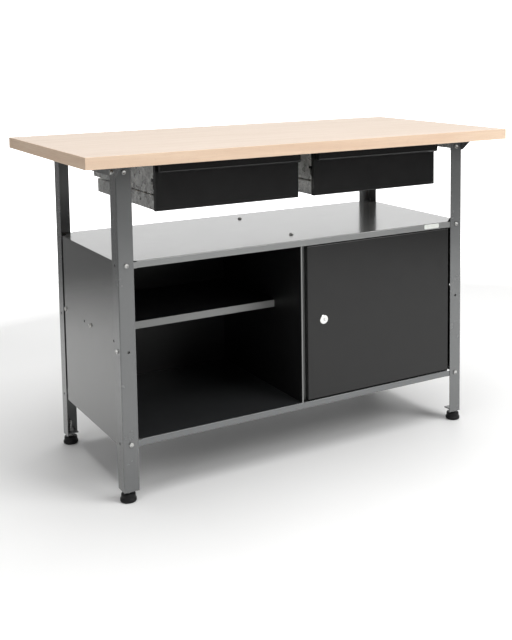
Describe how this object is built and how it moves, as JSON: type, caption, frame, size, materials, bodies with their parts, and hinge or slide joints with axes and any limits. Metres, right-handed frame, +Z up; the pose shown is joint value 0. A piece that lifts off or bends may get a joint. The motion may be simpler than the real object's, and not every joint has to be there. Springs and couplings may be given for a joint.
{
  "type": "workbench with drawers",
  "caption": "Steel-framed workbench with a board top, drawers under it, an open shelved bay and a lockable cupboard below, on levelling feet.",
  "frame": {"origin": "on the floor under the middle of the bench", "axes": "+X along the length to the right as seen from the drawers, +Z up, -Y towards the user"},
  "size_m": [1.2, 0.6, 0.83],
  "materials": {
    "beech_decor": "satin, printed beech grain along the length",
    "beech_edge": "satin",
    "grey_paint": "semi-gloss, fine orange peel",
    "light_grey_paint": "semi-gloss",
    "black_paint": "semi-gloss",
    "galvanised_sheet": "zinc spangle",
    "bright_zinc": "bright plated",
    "chrome": "polished",
    "white_nylon": "moulded",
    "black_plastic": "moulded"
  },
  "bodies": {
    "bench": {"tabletop": "beech_decor", "edge_bands": "beech_edge", "rear_rail": "grey_paint", "corner_brackets": "grey_paint", "crosspiece_right": "grey_paint", "crosspiece_left": "grey_paint", "side_panel_right": "grey_paint", "side_panel_left": "grey_paint", "back_panel": "grey_paint", "divider": "grey_paint", "inner_shelf": "grey_paint", "bottom_tray": "grey_paint", "foot_brackets": "grey_paint", "top_tray": "light_grey_paint", "leg_front_right": "grey_paint", "leg_front_left": "grey_paint", "leg_rear_right": "grey_paint", "leg_rear_left": "grey_paint", "tabletop_screws": "bright_zinc", "frame_bolts": "bright_zinc", "frame_nuts": "bright_zinc", "cabinet_bolts": "bright_zinc", "cabinet_nuts": "bright_zinc", "casing_axles": "bright_zinc", "foot_nuts": "bright_zinc", "hinge_bushes": "black_plastic", "casing_inner_left": "galvanised_sheet", "casing_outer_left": "galvanised_sheet", "casing_inner_right": "galvanised_sheet", "casing_outer_right": "galvanised_sheet"},
    "door": {"door": "black_paint", "hinge_pins": "bright_zinc", "lock_body": "chrome", "lock_nut": "bright_zinc"},
    "lock": {"lock_cylinder": "chrome", "lock_cam": "bright_zinc", "cam_screw": "bright_zinc"},
    "drawer_left": {"drawer_box_left": "galvanised_sheet", "drawer_front_left": "black_paint", "drawer_screws_left": "bright_zinc", "drawer_axles_left": "bright_zinc"},
    "casing_rollers_left": {"casing_rollers_left": "white_nylon"},
    "drawer_rollers_left": {"drawer_rollers_left": "white_nylon"},
    "drawer_right": {"drawer_box_right": "galvanised_sheet", "drawer_front_right": "black_paint", "drawer_screws_right": "bright_zinc", "drawer_axles_right": "bright_zinc"},
    "casing_rollers_right": {"casing_rollers_right": "white_nylon"},
    "drawer_rollers_right": {"drawer_rollers_right": "white_nylon"},
    "foot_front_right": {"foot_pad_front_right": "black_plastic"},
    "stem_front_right": {"foot_stem_front_right": "bright_zinc"},
    "foot_front_left": {"foot_pad_front_left": "black_plastic"},
    "stem_front_left": {"foot_stem_front_left": "bright_zinc"},
    "foot_rear_right": {"foot_pad_rear_right": "black_plastic"},
    "stem_rear_right": {"foot_stem_rear_right": "bright_zinc"},
    "foot_rear_left": {"foot_pad_rear_left": "black_plastic"},
    "stem_rear_left": {"foot_stem_rear_left": "bright_zinc"}
  },
  "joints": [
    {"name": "drawer_left_slide", "type": "slide", "parent": "bench", "child": "drawer_left", "axis": [0, -1, 0], "range_m": [0, 0.32]},
    {"name": "casing_rollers_left_turn", "type": "hinge", "parent": "bench", "child": "casing_rollers_left", "pos_m": [0, -0.195, 0.7312], "axis": [1, 0, 0], "range_deg": [0, 2386]},
    {"name": "drawer_rollers_left_turn", "type": "hinge", "parent": "drawer_left", "child": "drawer_rollers_left", "pos_m": [0, 0.158, 0.7312], "axis": [1, 0, 0], "range_deg": [0, 2386]},
    {"name": "drawer_right_slide", "type": "slide", "parent": "bench", "child": "drawer_right", "axis": [0, -1, 0], "range_m": [0, 0.32]},
    {"name": "casing_rollers_right_turn", "type": "hinge", "parent": "bench", "child": "casing_rollers_right", "pos_m": [0, -0.195, 0.7312], "axis": [1, 0, 0], "range_deg": [0, 2386]},
    {"name": "drawer_rollers_right_turn", "type": "hinge", "parent": "drawer_right", "child": "drawer_rollers_right", "pos_m": [0, 0.158, 0.7312], "axis": [1, 0, 0], "range_deg": [0, 2386]},
    {"name": "door_hinge", "type": "hinge", "parent": "bench", "child": "door", "pos_m": [0.448, -0.216, 0.3535], "axis": [0, 0, 1], "range_deg": [0, 110]},
    {"name": "lock_turn", "type": "hinge", "parent": "door", "child": "lock", "pos_m": [0.05, -0.216, 0.359], "axis": [0, 1, 0], "range_deg": [0, 90]},
    {"name": "stem_front_right_screw", "type": "hinge", "parent": "foot_front_right", "child": "stem_front_right", "pos_m": [0.49, -0.21, 0.04], "axis": [0, 0, -1], "range_deg": [0, 5761]},
    {"name": "foot_front_right_height", "type": "slide", "parent": "bench", "child": "foot_front_right", "axis": [0, 0, -1], "range_m": [0, 0.02]},
    {"name": "stem_front_left_screw", "type": "hinge", "parent": "foot_front_left", "child": "stem_front_left", "pos_m": [-0.49, -0.21, 0.04], "axis": [0, 0, -1], "range_deg": [0, 5761]},
    {"name": "foot_front_left_height", "type": "slide", "parent": "bench", "child": "foot_front_left", "axis": [0, 0, -1], "range_m": [0, 0.02]},
    {"name": "stem_rear_right_screw", "type": "hinge", "parent": "foot_rear_right", "child": "stem_rear_right", "pos_m": [0.49, 0.21, 0.04], "axis": [0, 0, -1], "range_deg": [0, 5761]},
    {"name": "foot_rear_right_height", "type": "slide", "parent": "bench", "child": "foot_rear_right", "axis": [0, 0, -1], "range_m": [0, 0.02]},
    {"name": "stem_rear_left_screw", "type": "hinge", "parent": "foot_rear_left", "child": "stem_rear_left", "pos_m": [-0.49, 0.21, 0.04], "axis": [0, 0, -1], "range_deg": [0, 5761]},
    {"name": "foot_rear_left_height", "type": "slide", "parent": "bench", "child": "foot_rear_left", "axis": [0, 0, -1], "range_m": [0, 0.02]}
  ],
  "couplings": [
    {"joint": "casing_rollers_left_turn", "follows": "drawer_left_slide", "rad_per_m": 129.87},
    {"joint": "drawer_rollers_left_turn", "follows": "drawer_left_slide", "rad_per_m": 129.87},
    {"joint": "casing_rollers_right_turn", "follows": "drawer_right_slide", "rad_per_m": 129.87},
    {"joint": "drawer_rollers_right_turn", "follows": "drawer_right_slide", "rad_per_m": 129.87},
    {"joint": "stem_front_right_screw", "follows": "foot_front_right_height", "rad_per_m": 5026.5},
    {"joint": "stem_front_left_screw", "follows": "foot_front_left_height", "rad_per_m": 5026.5},
    {"joint": "stem_rear_right_screw", "follows": "foot_rear_right_height", "rad_per_m": 5026.5},
    {"joint": "stem_rear_left_screw", "follows": "foot_rear_left_height", "rad_per_m": 5026.5}
  ]
}
